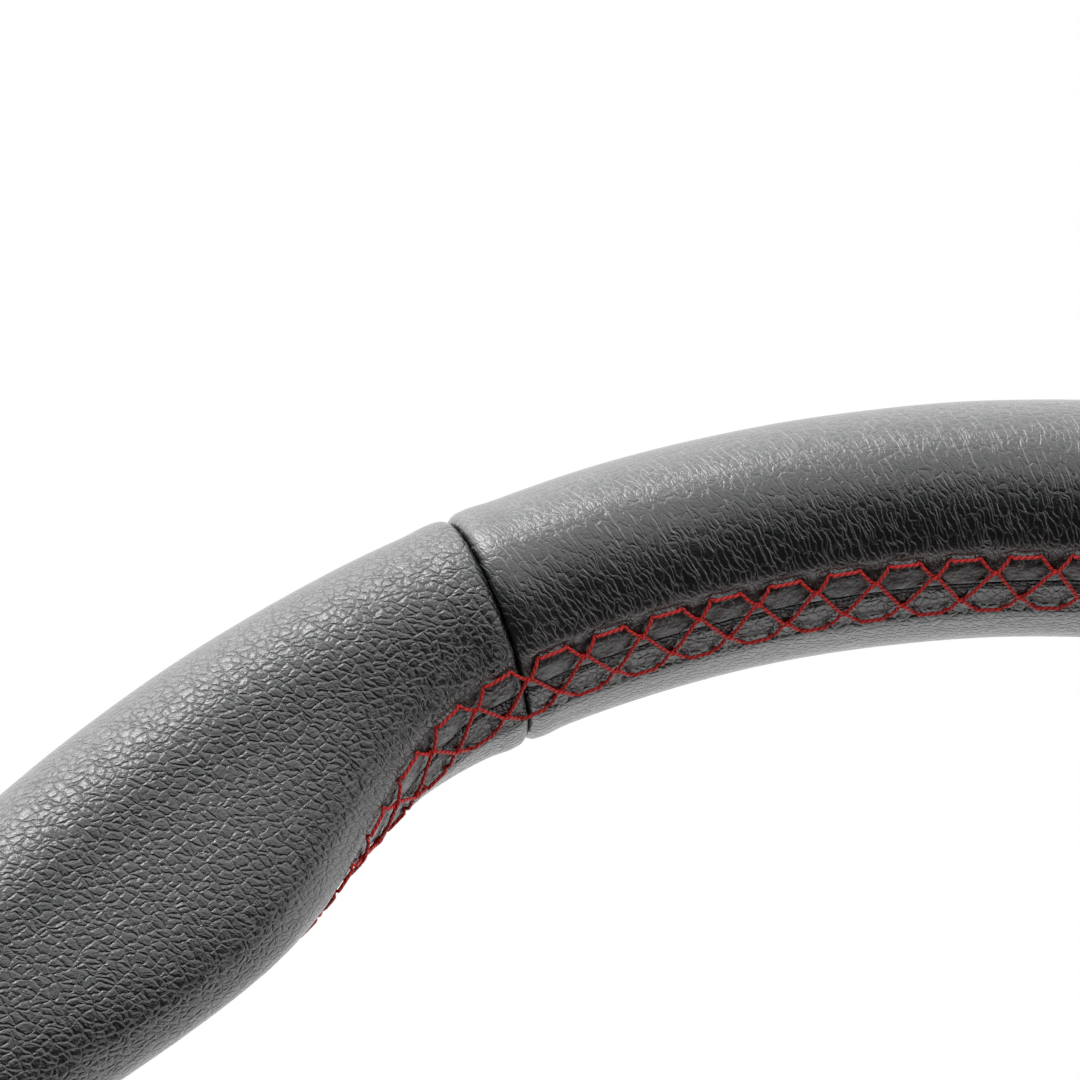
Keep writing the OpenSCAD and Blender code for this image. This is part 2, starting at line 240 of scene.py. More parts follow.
def rim_point(t, p):
    """The rim's surface, t degrees round the wheel from its top.

    p goes round the section in degrees, from the driver side towards the hub.
    """
    turn = np.abs((t + 180) % 360 - 180)
    rise = np.where(turn < thumb_at, thumb_rise, thumb_fall)
    thumb = thumb_swell * bump(turn - thumb_at, rise)
    palm = palm_swell * fade(turn, thumb_at - thumb_rise, thumb_at)
    palm = palm * (1 - fade(turn, palm_end - 20, palm_end))
    round_p = (p + 180) % 360 - 180
    swell = np.maximum(thumb, palm) * fade(round_p, 22, 60) * (1 - fade(round_p, 70, 150))
    t, p = np.radians(t), np.radians(p)
    radius = section_radius - half_wide * np.sin(p) - swell
    y = mid_y - half_deep * np.cos(p) + 0 * t
    return np.stack([-radius * np.sin(t), y, radius * np.cos(t)], -1)


def rim_normal(t, p):
    step = 0.02
    along = rim_point(t + step, p) - rim_point(t - step, p)
    across = rim_point(t, p + step) - rim_point(t, p - step)
    normal = np.cross(along, across)
    return normal / np.linalg.norm(normal, axis=-1, keepdims=True)


# ---------------------------------------------------------------------------------------------
# Leather. Four panels of pebbled cowhide, sewn end to end into a sleeve with four turned seams,
# wetted, pulled over the foam and drawn together by the lacing. Their edges meet under the thread
# and tuck in beside each spoke.
# ---------------------------------------------------------------------------------------------

seam_at, seam_swing, row_away = 70.2, 55.0, 14.3
stitch_pitch = 0.00725
steps_per_stitch = 10
spoke_turns = (90.0, 180.0, 270.0)
spoke_clear = 8.2
leather_thick = 0.00125
butt_half = 0.3
plate_low, plate_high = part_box("spoke_frame")
plate_clear = 0.0003
tuck_half = math.degrees(((plate_high.y - plate_low.y) / 2 + plate_clear)
                         / (half_deep * math.sin(math.radians(seam_at))))


def seam_round(t):
    """Where the laced seam is round the section. It swings to the back behind each thumb rest."""
    turn = np.abs((t + 180) % 360 - 180)
    return seam_at + seam_swing * fade(turn, 23, 49) * (1 - fade(turn, 56, 80))


fine_t = np.linspace(0, 360, 7201)
path = rim_point(fine_t, seam_round(fine_t))
along_path = np.concatenate([[0], np.cumsum(np.linalg.norm(np.diff(path, axis=0), axis=1))])


def turn_at(run, stitches):
    """The angle round the wheel after a number of stitches of a run."""
    first, last, count = run
    start = np.interp(first % 360, fine_t, along_path)
    length = (np.interp(last % 360, fine_t, along_path) - start) % along_path[-1]
    reached = (start + length * np.asarray(stitches) / count) % along_path[-1]
    angle = np.interp(reached, along_path, fine_t)
    return np.where(angle > last + 1, angle - 360, angle)


# Each run of lacing goes from one spoke to the next; the first one passes over the top
runs = []
for start, end in ((-90, 90), (90, 180), (180, 270)):
    first, last = start + spoke_clear, end - spoke_clear
    ends = np.interp([first % 360, last], fine_t, along_path)
    length = (ends[1] - ends[0]) % along_path[-1]
    runs.append((first, last, round(length / stitch_pitch)))

column_t, column_stitch = [], []
for run in runs:
    steps = np.arange(run[2] * steps_per_stitch + 1) / steps_per_stitch
    beside = np.linspace(run[1], run[1] + 2 * spoke_clear, 32)[1:-1]
    column_t += [turn_at(run, steps), beside]
    column_stitch += [steps, np.full(30, 0.25)]
column_t, column_stitch = np.concatenate(column_t), np.concatenate(column_stitch)


near_seam = np.array([0, 0.1, 0.22, 0.38, 0.6, 0.85, 1.15, 1.5, 1.9, 2.4]) / 1000


def panel_columns(t0, t1):
    """Angles of a panel's columns round the wheel, closest at its two seams, and their stitches."""
    t = (column_t - t0) % 360 + t0
    order = np.argsort(t)
    t, stitch = t[order], column_stitch[order]
    edge = np.degrees(near_seam / section_radius)
    inside = t[(t > t0 + edge[-1] * 1.2) & (t < t1 - edge[-1] * 1.2)]
    columns = np.concatenate([t0 + edge, inside, t1 - edge[::-1]])
    return columns, np.interp(columns, t, stitch)


# Distance round the section from its driver side, and where a panel's rows lie
girth_p = np.linspace(0, 720, 7201)
girth_wide, girth_deep = half_wide * np.sin(np.radians(girth_p)), half_deep * np.cos(np.radians(girth_p))
girth = np.concatenate([[0], np.cumsum(np.hypot(np.diff(girth_wide), np.diff(girth_deep)))])
margin_rows = np.array([0, 0.05, 0.11, 0.18, 0.26, 0.34, 0.42, 0.5, 0.58, 0.66, 0.74, 0.82, 0.89, 0.95])
near_row = np.array([0, 0.25, 0.5, 0.8, 1.15, 1.55, 2.0, 2.6, 3.3, 4.1, 5.0]) / 1000


def smooth_noise(points, scale, seed):
    """Noise from -1 to 1 at each point, with features of about the given size in metres."""
    flat = points.reshape(-1, 3)
    found = [noise.noise(Vector(row) / scale + Vector((seed, seed * 2.3, seed * 1.7))) for row in flat]
    return np.array(found).reshape(points.shape[:-1])


def closed_skin(name, outer, inner, maps):
    """A closed skin from two equal grids of points, with UV maps of the given grids of values."""
    rows, columns = outer.shape[:2]
    index = np.arange(rows * columns).reshape(rows, columns)
    a, b, c, d = index[:-1, :-1], index[1:, :-1], index[1:, 1:], index[:-1, 1:]
    quads = np.stack([a, d, c, b], -1).reshape(-1, 4)
    edge = np.concatenate([index[:, 0], index[-1, 1:], index[-2::-1, -1], index[0, -2:0:-1]])
    follow = np.roll(edge, -1)
    shift = rows * columns
    rim = np.stack([edge, edge + shift, follow + shift, follow], -1)
    faces = np.concatenate([quads, quads[:, ::-1] + shift, rim[:, ::-1]])
    mesh = bpy.data.meshes.new(name)
    points = np.concatenate([outer.reshape(-1, 3), inner.reshape(-1, 3)])
    mesh.vertices.add(len(points))
    mesh.vertices.foreach_set("co", points.ravel())
    mesh.loops.add(faces.size)
    mesh.loops.foreach_set("vertex_index", faces.ravel().astype(np.int32))
    mesh.polygons.add(len(faces))
    mesh.polygons.foreach_set("loop_start", np.arange(0, faces.size, 4, dtype=np.int32))
    mesh.update(calc_edges=True)
    for title, values in maps.items():
        both = np.concatenate([values.reshape(-1, 2)] * 2)
        mesh.uv_layers.new(name=title).data.foreach_set("uv", both[faces.ravel()].ravel())
    mesh.polygons.foreach_set("use_smooth", np.ones(len(faces), bool))
    mesh.validate()
    piece = bpy.data.objects.new(name, mesh)
    scene.collection.objects.link(piece)
    return piece


seam_roll = 0.0013
row_sink, row_wide = 0.00026, 0.0007
margin_sink = 0.00022
hole_sink, hole_wide = 0.00045, 0.0005
pucker, pucker_wide, pucker_reach = 0.00010, 0.0006, 0.0025
shoulder, shoulder_at, shoulder_wide = 0.00010, 0.0022, 0.0014
crinkle, crinkle_size = 0.00016, 0.0022
edge_tuck = 0.00045
unevenness, uneven_size = 0.00012, 0.016
lip, lip_at, lip_wide = 0.00022, 0.0026, 0.0018
least_leather = 0.00012


def leather_panel(name, t0, t1, seed):
    t, stitch = panel_columns(t0, t1)
    from_spokes = [np.abs((t - turn + 180) % 360 - 180) for turn in spoke_turns]
    beside_spoke = 1 - fade(np.min(from_spokes, axis=0), spoke_clear - 0.7, spoke_clear + 0.9)
    seam = seam_round(t)
    edge_p = butt_half + (tuck_half - butt_half) * beside_spoke
    back_girth = np.interp(seam + row_away, girth_p, girth)
    front_girth = np.interp(seam + 360 - row_away, girth_p, girth)
    margin = math.radians(row_away) * math.hypot(half_wide * math.cos(math.radians(seam_at)),
                                                 half_deep * math.sin(math.radians(seam_at)))
    p, away = [], []
    for share in margin_rows:
        p.append(seam + edge_p + (row_away - edge_p) * share)
        away.append(-margin * (1 - share))
    inner_shares = np.linspace(0, 1, 62)[1:-1]
    for near in near_row:
        p.append(np.interp(back_girth + near, girth, girth_p))
        away.append(near)
    for share in inner_shares:
        start, end = back_girth + near_row[-1], front_girth - near_row[-1]
        p.append(np.interp(start + (end - start) * share, girth, girth_p))
        away.append(near_row[-1] + (np.mean(end - start)) * min(share, 1 - share))
    for near in near_row[::-1]:
        p.append(np.interp(front_girth - near, girth, girth_p))
        away.append(near)
    for share in margin_rows[::-1]:
        p.append(seam + 360 - edge_p - (row_away - edge_p) * share)
        away.append(-margin * (1 - share))
    p, away = np.array(p), np.array(away)[:, None] + 0 * t[None]
    t_grid = np.broadcast_to(t, p.shape)
    smooth = rim_point(t_grid, p)
    normal = rim_normal(t_grid, p)

    # Sunk along the two rows of holes, and crinkled between them
    to_hole = np.abs((stitch * 2 + 0.5) % 1 - 0.5) / 2 * stitch_pitch
    laced = 1 - beside_spoke
    in_margin = np.clip(-away / margin, 0, 1)
    holes = np.exp(-(to_hole / hole_wide) ** 2) * np.exp(-(away / 0.0006) ** 2) * laced
    puckers = np.exp(-(to_hole / pucker_wide) ** 2) * np.exp(-np.clip(away, 0, 1) / pucker_reach) * laced
    height = -row_sink * np.exp(-(away / row_wide) ** 2) - margin_sink * fade(-away, 0.0, 0.0008)
    height = height - hole_sink * holes - pucker * puckers
    height = height + shoulder * np.exp(-((away - shoulder_at) / shoulder_wide) ** 2)
    height = height + smooth_noise(smooth, crinkle_size, seed) * crinkle * fade(in_margin, 0.0, 0.2)
    height = height - edge_tuck * fade(in_margin, 0.93, 1.0)
    height = height + smooth_noise(smooth, uneven_size, seed + 9) * unevenness * fade(away, 0.0, 0.004)

    # Rolled over at the seams, and a little full beside them
    edge_away = np.minimum(t - t0, t1 - t) * math.pi / 180 * section_radius
    rolled = np.clip(edge_away, 0, seam_roll)
    roll = np.sqrt(np.maximum(seam_roll ** 2 - (seam_roll - rolled) ** 2, 0)) - seam_roll
    full = lip * np.exp(-((edge_away - lip_at) / lip_wide) ** 2)
    height = np.maximum(height + (roll + full)[None], -leather_thick - 0.0001)
    outer = smooth + normal * height[..., None]
    inner = smooth + normal * np.minimum(height - least_leather, -leather_thick)[..., None]

    # Both maps are in mm. One is even all over the skin, and one starts at the front row of holes
    along = np.radians(t_grid) * section_radius * 1000
    from_row = (front_girth[None] - np.interp(p, girth_p, girth)) * 1000
    fine_p, outermost_p = np.linspace(50, 490, 441), 270
    ring = rim_point(*np.meshgrid(t, fine_p, indexing="xy"))
    steps = np.linalg.norm(np.diff(ring, axis=0, prepend=ring[:1]), axis=-1)
    length = np.cumsum(steps, axis=0) * 1000
    length = length - length[fine_p.searchsorted(outermost_p)]
    even = np.stack([np.interp(p[:, i], fine_p, -length[:, i]) for i in range(len(t))], -1)
    return closed_skin(name, outer, inner, {
        "skin": np.stack([along, even], -1), "from row": np.stack([along, from_row], -1)})


def leather_finish(name, seed, cell, drawn_to, relief):
    """Black leather with pebbles of cell mm, drawn out up to drawn_to mm from the lacing, with painted
    highlights on its creases.
    """
    material, wire, shader = new_finish(name, Specular_IOR_Level=0.95)
    skin = wire.node("ShaderNodeUVMap", {"uv_map": "skin"})
    x, y = skin.part("X") + seed * 31.7, skin.part("Y")
    from_row = wire.node("ShaderNodeUVMap", {"uv_map": "from row"}).part("Y")

    def flat_noise(u, v, detail=2.0):
        where = wire.node("ShaderNodeCombineXYZ", None, {0: u, 1: v})
        return wire.node("ShaderNodeTexNoise", {"noise_dimensions": "2D"},
                         {"Vector": where, "Scale": 1.0, "Detail": detail}, "Fac")

    def to_edge(u, v):
        where = wire.node("ShaderNodeCombineXYZ", None, {0: u, 1: v})
        flat_edges = {"feature": "DISTANCE_TO_EDGE", "voronoi_dimensions": "2D"}
        return wire.node("ShaderNodeTexVoronoi", flat_edges,
                         {"Vector": where, "Scale": 1.0, "Randomness": 0.95}, "Distance")

    slow = flat_noise(x * 0.11, y * 0.11)
    bend = flat_noise(x * 0.5, y * 0.36) - 0.5
    bend_too = flat_noise(x * 0.46 + 40, y * 0.5) - 0.5
    drawn = from_row.between(drawn_to * 0.35, drawn_to, 1.0, 0.0)
    lean = x - y * 0.32 + bend * 1.5
    even = to_edge(lean / cell, (y + bend_too * 1.5) / cell)
    long = to_edge(lean / (cell * 0.62), (y + bend_too * 1.8) / (cell * 2.1))
    small = to_edge(lean / (cell * 0.42) + 9, (y + bend_too) / (cell * 0.5)).between(0.0, 0.3)
    dome = even.between(0.0, 0.3) * (1 - drawn) + long.between(0.0, 0.22) * drawn
    crease = even.between(0.0, 0.07, 1.0, 0.0) * (1 - drawn) + long.between(0.0, 0.06, 1.0, 0.0) * drawn

    # Painted highlights: light streaks across the rim, broken into short lengths, stand in the base colour
    # for glints on crease walls; they are also sunk in the bump
    lean_streak = x - y * 0.30 + bend * 0.6
    streak_gap = 1.1
    column = (lean_streak / streak_gap).maths("FLOOR")
    chance = wire.node("ShaderNodeTexWhiteNoise", {"noise_dimensions": "1D"}, {"W": column}, "Value")
    broken = flat_noise(column * 3.7, y * 0.36 + chance * 20, 0.0).between(0.5, 0.62)
    middle = ((lean_streak / streak_gap).maths("FRACT") - 0.5 + (chance - 0.5) * 0.4).maths("ABSOLUTE")
    glint_streaks = middle.between(0.0, 0.10, 1.0, 0.0) * broken
    glint_streaks = glint_streaks * from_row.between(drawn_to * 0.7, drawn_to * 1.3, 1.0, 0.0)

    in_margin = from_row.between(-0.1, -0.5)
    wave = flat_noise(x * 0.9, y * 1.1, 1.0) + flat_noise(x * 2.0 + 7, y * 2.3, 0.0) * 0.3
    squiggles = ((wave * 4.5).maths("FRACT") - 0.5).maths("ABSOLUTE").between(0.03, 0.16, 1.0, 0.0)
    squiggles = squiggles * flat_noise(x * 0.7 + 30, y * 0.7, 0.0).between(0.4, 0.6)
    patchy = slow.between(0.3, 0.7, 0.35, 0.8)
    # Painted highlights: the creases and the streaks are lightened in the base colour to stand for glints;
    # in the margin the crinkle squiggles are lighter lines
    painted_glints_and_squiggles = (crease * patchy * 0.20).most(glint_streaks * 0.8) * (1 - in_margin) + squiggles * in_margin * 0.5
    pores = flat_noise(x * 5.5, y * 5.5)
    skin_height = dome * 0.55 - crease * 0.3 + small * 0.16 - glint_streaks * 0.25 + pores * 0.14
    skin_height = skin_height * from_row.between(64.0, 84.0, 1.0, 1.9)
    height = skin_height * (1 - in_margin) + (wave * 1.3 + squiggles * 0.8) * in_margin
    # The light end of the base colour's tint is the colour of the painted glints
    feed(shader,
         Base_Color=painted_glints_and_squiggles.tint((0.0034, 0.0043, 0.0050), (0.13, 0.13, 0.12)),
         Roughness=0.30 + painted_glints_and_squiggles * 0.15 + (pores - 0.5) * 0.14 + in_margin * 0.04,
         Normal=wire.node("ShaderNodeBump", None, {"Height": height, "Distance": relief}))
    return material


# Each panel's two ends in degrees, its slot, a seed for its skin, the size of its pebbles in mm, how far
# from the lacing they are drawn out in mm, and the height of its relief in metres
top_seam, low_seam = 24.7, 119.7
panels = {
    "leather_top_panel": (-top_seam, top_seam, "top_leather", 0.0, 1.25, 24.0, 0.00007),
    "leather_left_grip": (top_seam, low_seam, "grip_leather", 3.0, 1.15, 7.0, 0.00014),
    "leather_right_grip": (-low_seam, -top_seam, "grip_leather", 6.0, 1.15, 7.0, 0.00014),
    "leather_bottom_panel": (low_seam, 360 - low_seam, "top_leather", 11.0, 1.25, 24.0, 0.00007),
}
for node, (t0, t1, slot, seed, cell, drawn_to, relief) in panels.items():
    panel = leather_panel(node.replace("leather_", "") + "_leather", t0, t1, seed)
    panel.data.materials.append(leather_finish(node.replace("_", " "), seed, cell, drawn_to, relief))
    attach(panel, "wheel")
    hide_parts(node)


# ---------------------------------------------------------------------------------------------
# Lacing. Three waxed twisted threads follow each other through two rows of awl holes. Each one
# makes a short stitch along one row, crosses the drawn-together edges, and makes the next along
# the other row, so that the threads cross twice on each side of the middle.
# ---------------------------------------------------------------------------------------------

bed_spread = 0.25


class Grow(Wire):
    """A wire of a Geometry Nodes tree."""

    def node(self, kind, settings=None, inputs=None, output=0):
        made = super().node(kind, settings, inputs, output)
        return Grow(self.tree, made.socket)

    def ramp(self, low, high, start, end):
        """Goes straight from start to end as this wire goes from low to high, and stays there."""
        return self.node("ShaderNodeMapRange", None, {0: self, 1: low, 2: high, 3: start, 4: end})


def new_tree(name, **inputs):
    """A Geometry Nodes tree with named inputs. Returns the tree and the wires of its inputs."""
    tree = bpy.data.node_groups.new(name, "GeometryNodeTree")
    tree.interface.new_socket("Geometry", in_out="INPUT", socket_type="NodeSocketGeometry")
    tree.interface.new_socket("Geometry", in_out="OUTPUT", socket_type="NodeSocketGeometry")
    kinds = {int: "NodeSocketInt", float: "NodeSocketFloat", bpy.types.Material: "NodeSocketMaterial"}
    for title, value in inputs.items():
        made = tree.interface.new_socket(
            title.replace("_", " "), in_out="INPUT", socket_type=kinds[type(value)])
        made.default_value = value
    entry = tree.nodes.new("NodeGroupInput")
    return tree, [Grow(tree, socket) for socket in entry.outputs if socket.name]


def end_tree(tree, geometry, material):
    """Ends the tree with real geometry that carries its material."""
    real = geometry.node("GeometryNodeRealizeInstances", None, {"Geometry": geometry})
    painted = real.node("GeometryNodeSetMaterial", None, {"Geometry": real, "Material": material})
    leave = tree.nodes.new("NodeGroupOutput")
    tree.links.new(painted.socket, leave.inputs[0])


def grown(piece, tree, **values):
    """Runs the tree on a piece and leaves the result as its plain mesh."""
    modifier = piece.modifiers.new("grown", "NODES")
    modifier.node_group = tree
    for item in tree.interface.items_tree:
        if item.in_out == "INPUT" and item.name.replace(" ", "_") in values:
            modifier[item.identifier] = values[item.name.replace(" ", "_")]
    bpy.context.view_layer.update()
    ready = piece.evaluated_get(bpy.context.evaluated_depsgraph_get())
    mesh = bpy.data.meshes.new_from_object(ready)
    piece.modifiers.clear()
    piece.data = mesh
    mesh.polygons.foreach_set("use_smooth", np.ones(len(mesh.polygons), bool))
    return piece


def thread_bed(name, run):
    """A smooth ribbon under one run of lacing, with its stitches along U and its width along V."""
    steps = np.arange(run[2] * 8 + 1) / 8
    shares = np.linspace(-bed_spread, 1 + bed_spread, 17)
    step, share = np.meshgrid(steps, shares, indexing="ij")
    turn = np.meshgrid(turn_at(run, steps), shares, indexing="ij")[0]
    p = seam_round(turn) + row_away * (2 * share - 1)
    index = np.arange(step.size).reshape(step.shape)
    faces = np.stack([index[:-1, :-1], index[1:, :-1], index[1:, 1:], index[:-1, 1:]], -1).reshape(-1, 4)
    mesh = bpy.data.meshes.new(name)
    mesh.from_pydata(rim_point(turn, p).reshape(-1, 3).tolist(), [], faces.tolist())
    maps = np.stack([step / run[2] * 0.9 + 0.05, (share + 0.5) / 2], -1).reshape(-1, 2)
    mesh.uv_layers.new(name="stitches").data.foreach_set("uv", maps[faces.ravel()].ravel())
    mesh.attributes.new("outward", "FLOAT_VECTOR", "POINT").data.foreach_set(
        "vector", rim_normal(turn, p).ravel())
    piece = bpy.data.objects.new(name, mesh)
    scene.collection.objects.link(piece)
    return piece


red_thread, wire, shader = new_finish("red waxed thread", Specular_IOR_Level=0.25)
lay = wire.node("ShaderNodeAttribute", {"attribute_name": "along"}, output="Fac")
turned = wire.node("ShaderNodeAttribute", {"attribute_name": "around"}, output="Fac")
ply = ((lay * 1.3 + turned * 2.0) * (2 * math.pi)).maths("SINE")
feed(shader, Base_Color=ply.between(-1, 1).tint((0.26, 0.008, 0.012), (0.55, 0.028, 0.020)),
     Roughness=ply.between(-1, 1, 0.65, 0.5),
     Normal=wire.node("ShaderNodeBump", None, {"Height": ply, "Distance": 0.00003}))

tree, (bed, count, width, samples, finish) = new_tree(
    "lacing", Stitches=60, Thread_width=0.00046, Samples=28, Finish=red_thread)
line = bed.node("GeometryNodeMeshLine", None, {"Count": count * samples})
line = line.node("GeometryNodeMeshToCurve", None, {"Mesh": line})
strands = line.node("GeometryNodeDuplicateElements", {"domain": "SPLINE"},
                    {"Geometry": line, "Amount": 3})
which = Grow(tree, strands.socket.node.outputs["Duplicate Index"])
late = which.maths("COMPARE", 2, 0.1) * 0.5
early = (count - which).maths("FLOORED_MODULO", 3).maths("COMPARE", 1, 0.1) * 0.5
share = bed.node("GeometryNodeSplineParameter", output="Factor")
at = late + share * (count - late - early)
wave = (at - which).maths("FLOORED_MODULO", 3)
slope = (wave - 0.5).least(3 - wave).most(0).least(1)
across = (slope.ramp(0, 0.2, 0, 0.235) + slope.ramp(0.2, 0.3, 0, 0.03) + slope.ramp(0.3, 0.7, 0, 0.47)
          + slope.ramp(0.7, 0.8, 0, 0.03) + slope.ramp(0.8, 1.0, 0, 0.235))
rising = wave.maths("LESS_THAN", 1.75)
first = 1 - ((slope - 0.25).maths("ABSOLUTE") / 0.16).least(1)
second = 1 - ((slope - 0.75).maths("ABSOLUTE") / 0.16).least(1)
over = (rising * 2 - 1) * (first - second)
near = wave.maths("ABSOLUTE")
for hole in (0.5, 1.5, 2, 3):
    near = near.least((wave - hole).maths("ABSOLUTE"))
dive = 1 - (near / 0.045).least(1)
height = width * (0.45 + over * 0.42 - dive * 1.3)
spot = bed.node("ShaderNodeCombineXYZ", None, {0: at / count * 0.9 + 0.05, 1: (across + 0.5) / 2})
source = bed.node("GeometryNodeInputNamedAttribute", {"data_type": "FLOAT_VECTOR"}, {0: "stitches"})


def sampled(value):
    made = bed.node("GeometryNodeSampleUVSurface", {"data_type": "FLOAT_VECTOR"},
                    {"Mesh": bed, "Value": value, "Sample UV": spot})
    tree.links.new(source.socket, made.socket.node.inputs["Source UV Map"])
    return made


ground = sampled(bed.node("GeometryNodeInputPosition"))
outward = sampled(bed.node("GeometryNodeInputNamedAttribute", {"data_type": "FLOAT_VECTOR"},
                           {0: "outward"}))
lift = bed.node("ShaderNodeVectorMath", {"operation": "SCALE"}, {0: outward, 3: height})
placed = bed.node("ShaderNodeVectorMath", {"operation": "ADD"}, {0: ground, 1: lift})
laid = strands.node("GeometryNodeSetPosition", None, {"Geometry": strands, "Position": placed})
reach = bed.node("GeometryNodeSplineParameter", output="Length")
laid = laid.node("GeometryNodeStoreNamedAttribute", {"data_type": "FLOAT", "domain": "POINT"},
                 {"Geometry": laid, "Name": "along", "Value": reach * 1000})
ring = bed.node("GeometryNodeCurvePrimitiveCircle", None, {"Resolution": 10, "Radius": width / 2})
ring = ring.node("GeometryNodeStoreNamedAttribute", {"data_type": "FLOAT", "domain": "POINT"},
                 {"Geometry": ring, "Name": "around",
                  "Value": bed.node("GeometryNodeSplineParameter", output="Factor")})
threads = laid.node("GeometryNodeCurveToMesh", None,
                    {"Curve": laid, "Profile Curve": ring, "Fill Caps": True})
end_tree(tree, threads, finish)
for run, name in zip(runs, ("lacing_over_top", "lacing_lower_left", "lacing_lower_right")):
    lacing = grown(thread_bed(name, run), tree, Stitches=run[2])
    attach(lacing, "wheel")
    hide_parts("rim_stitching")


# ---------------------------------------------------------------------------------------------
# Spoke frame. One 4 mm aluminium plate, laser cut with its ring, its three spokes and their
# slots, edges eased by tumbling, then bead blasted and anodised black.
# ---------------------------------------------------------------------------------------------

bevel_from, sharp_from = 35, 25


def eased(node, name, edge, finish, body="wheel"):
    """Stands for a CAD node with a copy of it whose edges are rounded."""
    mesh = nodes[node].data.copy()
    mesh.name = name
    mesh.transform(nodes[node].matrix_world)
    form = bmesh.new()
    form.from_mesh(mesh)
    bmesh.ops.remove_doubles(form, verts=form.verts, dist=0.000002)
    bmesh.ops.dissolve_limit(form, angle_limit=math.radians(0.4), verts=form.verts, edges=form.edges)
    form.to_mesh(mesh)
    form.free()
    piece = bpy.data.objects.new(name, mesh)
    scene.collection.objects.link(piece)
    rounding = piece.modifiers.new("eased edges", "BEVEL")
    rounding.width, rounding.segments = edge, 2
    rounding.limit_method, rounding.angle_limit = "ANGLE", math.radians(bevel_from)
    bpy.context.view_layer.update()
    ready = piece.evaluated_get(bpy.context.evaluated_depsgraph_get())
    mesh = bpy.data.meshes.new_from_object(ready)
    piece.modifiers.clear()
    piece.data = mesh
    mesh.name = name
    mesh.materials.clear()
    mesh.materials.append(finish)
    mesh.polygons.foreach_set("use_smooth", np.ones(len(mesh.polygons), bool))
    mesh.set_sharp_from_angle(angle=math.radians(sharp_from))
    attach(piece, body)
    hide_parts(node)
    return piece


def solid_noise(place, scale, detail):
    return place.node("ShaderNodeTexNoise", None, {"Vector": place, "Scale": scale, "Detail": detail}, "Fac")


def blasted(name, colour, roughness):
    """A bead blasted or finely moulded surface: an even fine grain, and a faint cloud in its gloss."""
    material, wire, shader = new_finish(name, Base_Color=(*colour, 1))
    place = wire.node("ShaderNodeTexCoord", output="Object")
    grain, cloud = solid_noise(place, 3200.0, 2.0), solid_noise(place, 45.0, 3.0)
    feed(shader, Roughness=(cloud - 0.5) * 0.14 + (grain - 0.5) * 0.10 + roughness,
         Normal=wire.node("ShaderNodeBump", {}, {"Height": grain, "Distance": 0.00003}))
    return material


black_blasted = blasted("black anodised, blasted", (0.014, 0.014, 0.015), 0.44)
eased("spoke_frame", "spoke_plate", 0.00035, black_blasted)


# ---------------------------------------------------------------------------------------------
# Hub flange. Turned from an aluminium bar, drilled and tapped for the six wheel screws, and
# anodised black over its fine turning marks.
# ---------------------------------------------------------------------------------------------

def turned_finish(name, colour, roughness, metallic, marks=0.00002):
    """A turned surface: fine rings about the hub's axis, and faint rubbed patches in its gloss."""
    material, wire, shader = new_finish(name, Base_Color=(*colour, 1), Metallic=metallic)
    place = wire.node("ShaderNodeTexCoord", output="Object")
    x, y, z = (place.part(axis) for axis in "XYZ")
    marks_per_metre = 2600.0
    reach = (x * x + z * z).maths("SQRT")
    ring = wire.node("ShaderNodeCombineXYZ", None, {0: reach * marks_per_metre, 1: y * marks_per_metre})
    tool = wire.node("ShaderNodeTexNoise", {"noise_dimensions": "2D"},
                     {"Vector": ring, "Scale": 1.0, "Detail": 2.0}, "Fac")
    rubbed = solid_noise(place, 90.0, 4.0)
    feed(shader, Roughness=(tool - 0.5) * 0.16 + (rubbed - 0.5) * 0.16 + roughness,
         Normal=wire.node("ShaderNodeBump", {}, {"Height": tool, "Distance": marks}))
    return material


black_turned = turned_finish("black anodised, turned", (0.014, 0.014, 0.015), 0.36, 0.0)
eased("hub_flange", "turned_flange", 0.00030, black_turned)


# ---------------------------------------------------------------------------------------------
# Spline sleeve and its fixings. The sleeve is turned, broached and ground from alloy steel and
# held in the flange by six black oxide screws. A snap ring keeps the collar on it, and a ground
# washer takes the thrust of the collar's spring.
# ---------------------------------------------------------------------------------------------

ground_steel = turned_finish("ground steel", (0.56, 0.56, 0.57), 0.26, 1.0, 0.00001)
black_oxide = turned_finish("black oxide steel", (0.035, 0.035, 0.038), 0.36, 0.85, 0.00001)
eased("spline_sleeve", "broached_sleeve", 0.00015, ground_steel)
eased("thrust_washer", "ground_washer", 0.00012, ground_steel)
eased("sleeve_screws", "small_screws", 0.00012, black_oxide)
eased("retaining_ring", "snap_ring", 0.00015, black_oxide)


# ---------------------------------------------------------------------------------------------
# Release collar. Turned from aluminium, with finger flutes milled round its flange, and anodised
# red. Its inner cone holds the balls in until the driver pulls it back.
# ---------------------------------------------------------------------------------------------

red_turned = turned_finish("red anodised, turned", (0.30, 0.008, 0.012), 0.29, 1.0)
eased("release_collar", "fluted_collar", 0.00030, red_turned, "collar")


# ---------------------------------------------------------------------------------------------
# Springs. Coiled from drawn spring wire, with a closed turn at each end. One pushes the collar
# home and the other holds the horn button up.
# ---------------------------------------------------------------------------------------------

drawn_wire = turned_finish("drawn spring wire", (0.42, 0.43, 0.45), 0.24, 1.0, 0.000005)


